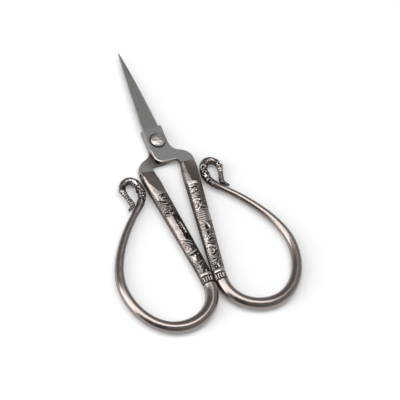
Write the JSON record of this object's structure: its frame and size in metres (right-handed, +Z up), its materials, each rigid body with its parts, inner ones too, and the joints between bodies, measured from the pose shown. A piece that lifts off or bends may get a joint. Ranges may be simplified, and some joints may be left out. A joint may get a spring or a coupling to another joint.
{
  "type": "embroidery scissors",
  "caption": "Small embroidery scissors with slim pointed blades on a domed rivet, ornamented straight shanks and teardrop finger bows that end in curls.",
  "frame": {"origin": "middle of the closed scissors' footprint, on the surface that they lie on", "axes": "+X across the scissors, towards the handle of the upper half; +Y along the scissors, from the bows to the points; +Z up, along the pivot towards the rivet's domed head"},
  "size_m": [0.0726, 0.1144, 0.0057],
  "materials": {
    "ground_steel": "ground flat, matte grey",
    "antique_metal": "warm polished rod and relief, blackened in the recesses",
    "rivet_steel": "polished dome"
  },
  "bodies": {
    "back_half": {"back_blade": "ground_steel", "back_shank": "antique_metal", "back_bow": "antique_metal", "back_curl": "antique_metal", "pivot_rivet": "rivet_steel"},
    "front_half": {"front_blade": "ground_steel", "front_shank": "antique_metal", "front_bow": "antique_metal", "front_curl": "antique_metal"}
  },
  "joints": [
    {"name": "blade_pivot", "type": "hinge", "parent": "back_half", "child": "front_half", "pos_m": [0, 0.01774, 0.00256], "axis": [0, 0, 1], "range_deg": [0, 70]}
  ]
}
